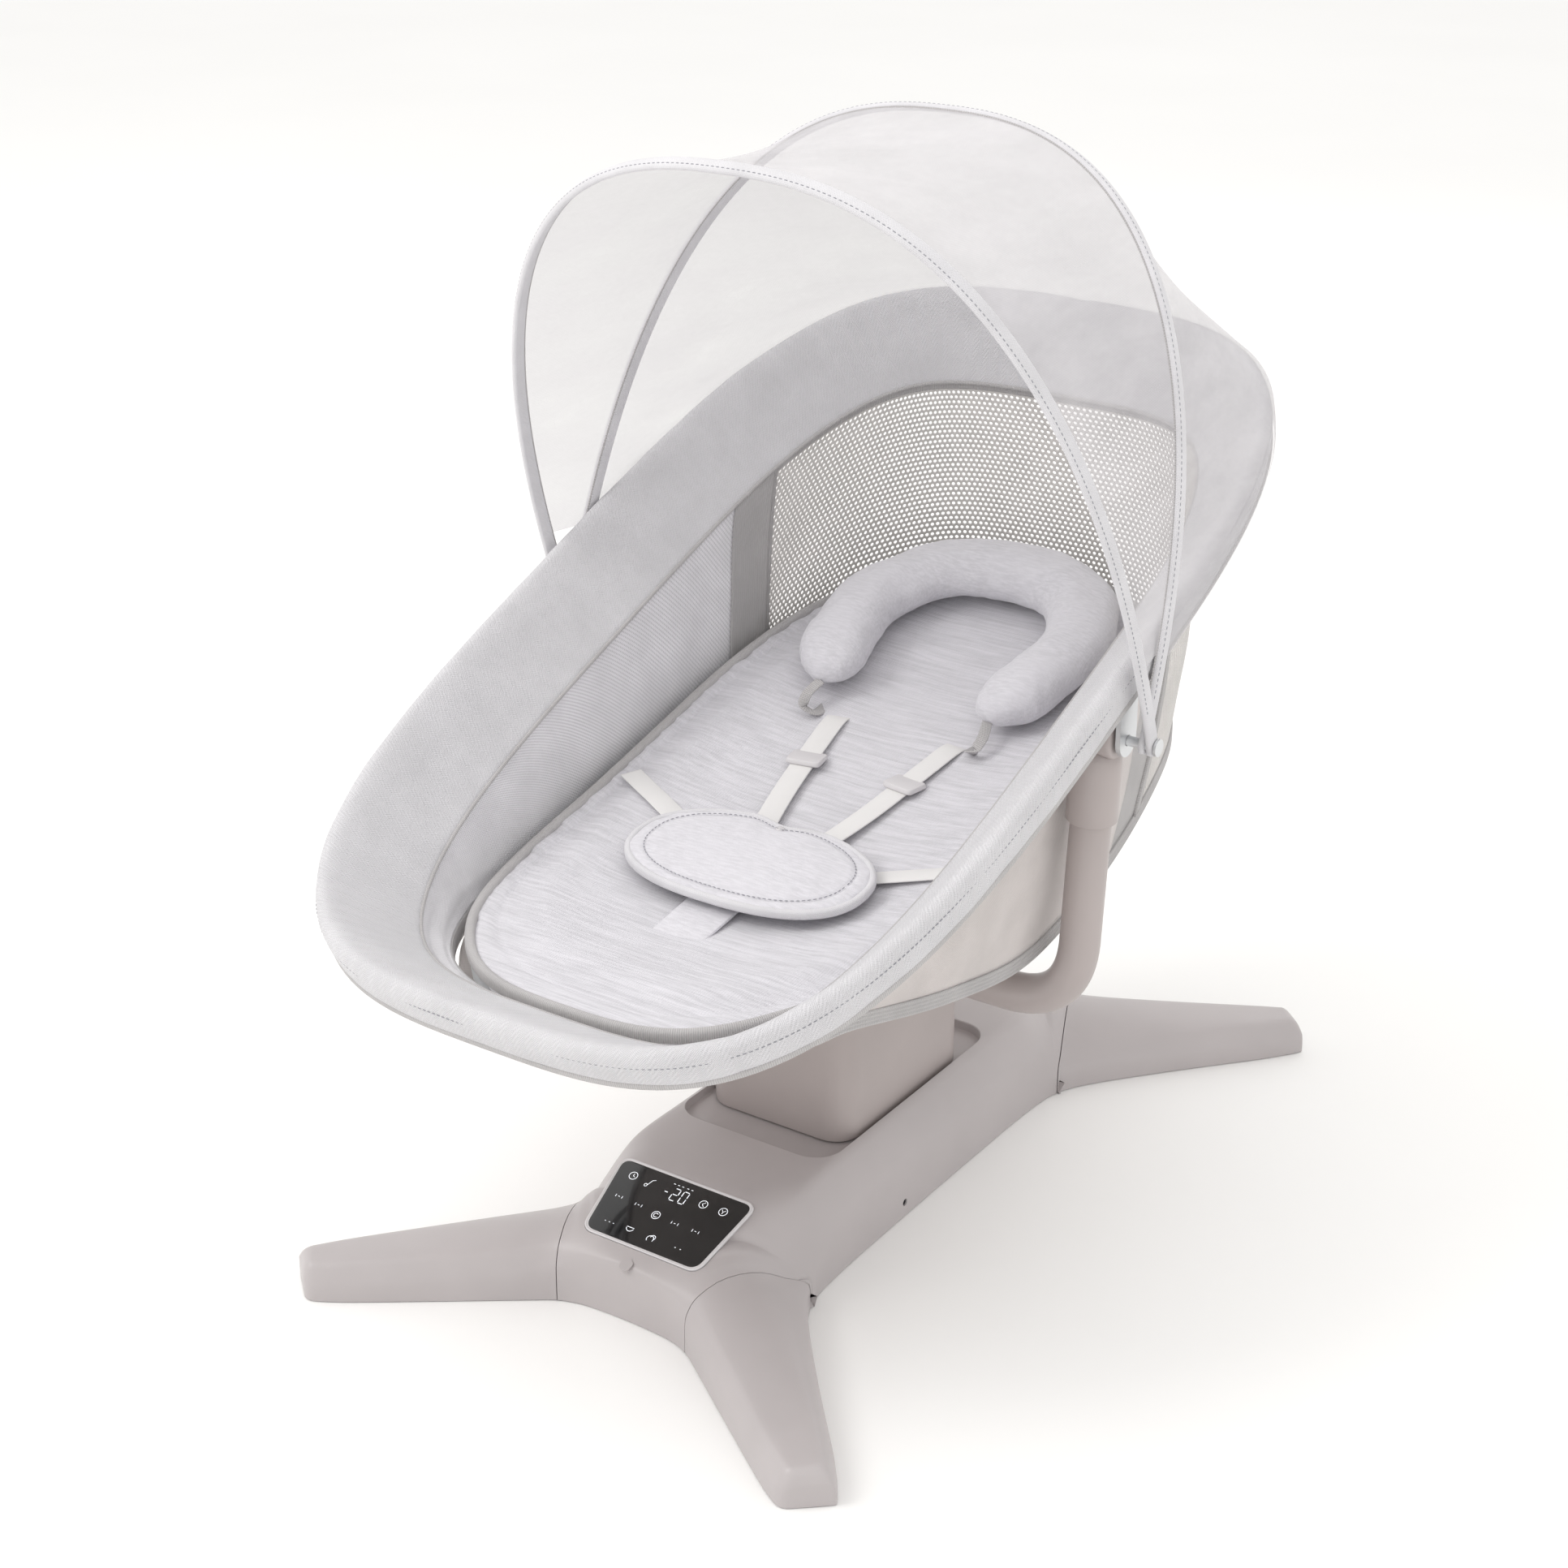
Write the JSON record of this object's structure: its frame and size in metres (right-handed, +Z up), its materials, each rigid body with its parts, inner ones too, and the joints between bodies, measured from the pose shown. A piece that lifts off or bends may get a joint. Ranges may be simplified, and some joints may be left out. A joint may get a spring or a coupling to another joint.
{
  "type": "baby swing",
  "caption": "Electric baby swing: a bassinet seat on a U-shaped yoke that glides on a splayed-leg base, with a folding two-bow net canopy.",
  "frame": {"origin": "floor level, at the centre of the base plate that the object stands on", "axes": "+Z up; +Y from the control panel towards the head end; +X to the right, square to the plane of symmetry"},
  "size_m": [0.5668, 0.8733, 0.8772],
  "materials": {
    "housing_plastic": "satin",
    "arm_plastic": "satin",
    "pale_trim": "satin",
    "panel_glass": "gloss",
    "rubber_foot": "matt",
    "steel": "satin",
    "pinion_brass": "satin",
    "board_green": "satin",
    "black_plastic": "satin",
    "acetal": "satin",
    "rim_fabric": "woven",
    "wall_fabric": "woven",
    "mesh_fabric": "open mesh",
    "binding_fabric": "ribbed",
    "mat_fabric": "heathered knit",
    "webbing": "woven webbing",
    "net_fabric": "sheer net"
  },
  "bodies": {
    "base": {"base_housing": "housing_plastic", "base_cover": "housing_plastic", "panel_bezel": "pale_trim", "panel_glass": "panel_glass", "control_board": "board_green", "drive_motor": "steel", "guide_rod_left": "steel", "guide_rod_right": "steel", "rail_support_front": "black_plastic", "rail_support_rear": "black_plastic", "power_jack": "black_plastic", "leg_front_right": "housing_plastic", "leg_front_left": "housing_plastic", "leg_rear_right": "housing_plastic", "leg_rear_left": "housing_plastic", "foot_front_right": "rubber_foot", "foot_front_left": "rubber_foot", "foot_rear_right": "rubber_foot", "foot_rear_left": "rubber_foot"},
    "drive_pinion": {"drive_pinion": "pinion_brass"},
    "carriage": {"carriage_block": "acetal", "drive_rack": "acetal", "carriage_plate": "steel", "carriage_post": "steel", "yoke_saddle": "black_plastic", "yoke_clamp": "black_plastic", "turret_cover": "housing_plastic", "yoke_tube": "arm_plastic", "hub_housing_right": "arm_plastic", "hub_housing_left": "arm_plastic"},
    "recline_button_right": {"recline_button_right": "pale_trim"},
    "recline_button_left": {"recline_button_left": "pale_trim"},
    "seat": {"hub_pin_right": "steel", "hub_pin_left": "steel", "hub_bracket_right": "steel", "hub_bracket_left": "steel", "seat_frame_ring": "steel", "rim_pad": "rim_fabric", "wall_lower_panel": "wall_fabric", "wall_mesh_panel": "mesh_fabric", "side_tape_right": "binding_fabric", "side_tape_left": "binding_fabric", "bottom_binding": "binding_fabric", "seat_bottom": "wall_fabric", "seat_support": "acetal", "seat_mat": "mat_fabric", "head_pillow": "mat_fabric", "harness_buckle": "black_plastic", "buckle_cover": "mat_fabric", "crotch_strap": "mat_fabric", "lap_strap_right": "webbing", "lap_strap_left": "webbing", "shoulder_strap_right": "webbing", "shoulder_strap_left": "webbing"},
    "buckle_release": {"buckle_button": "rubber_foot"},
    "canopy_rear": {"canopy_rear_bow": "binding_fabric", "canopy_rear_net": "net_fabric"},
    "canopy_front": {"canopy_front_bow": "binding_fabric", "canopy_front_net": "net_fabric"}
  },
  "joints": [
    {"name": "glide", "type": "slide", "parent": "base", "child": "carriage", "axis": [0, 1, 0], "range_m": [-0.03, 0.03]},
    {"name": "pinion_spin", "type": "hinge", "parent": "base", "child": "drive_pinion", "pos_m": [0.062, 0, 0.054], "axis": [0, 0, 1], "range_deg": [-150, 150]},
    {"name": "recline", "type": "hinge", "parent": "carriage", "child": "seat", "pos_m": [0, 0, 0.45], "axis": [1, 0, 0], "range_deg": [-12, 10]},
    {"name": "recline_press_right", "type": "slide", "parent": "carriage", "child": "recline_button_right", "axis": [0, -1, 0], "range_m": [0, 0.0018], "stiffness_N_per_m": 400},
    {"name": "recline_press_left", "type": "slide", "parent": "carriage", "child": "recline_button_left", "axis": [0, -1, 0], "range_m": [0, 0.0018], "stiffness_N_per_m": 400},
    {"name": "buckle_press", "type": "slide", "parent": "seat", "child": "buckle_release", "axis": [0, 0, -1], "range_m": [0, 0.002], "stiffness_N_per_m": 400},
    {"name": "canopy_rear_fold", "type": "hinge", "parent": "seat", "child": "canopy_rear", "pos_m": [0, 0, 0.45], "axis": [1, 0, 0], "range_deg": [-6, 0], "deforming": ["canopy_rear_net"]},
    {"name": "canopy_front_fold", "type": "hinge", "parent": "canopy_rear", "child": "canopy_front", "pos_m": [0, 0, 0.45], "axis": [1, 0, 0], "range_deg": [-36, 0], "deforming": ["canopy_front_net"]}
  ],
  "couplings": [
    {"joint": "pinion_spin", "follows": "glide", "rad_per_m": -83.333}
  ]
}
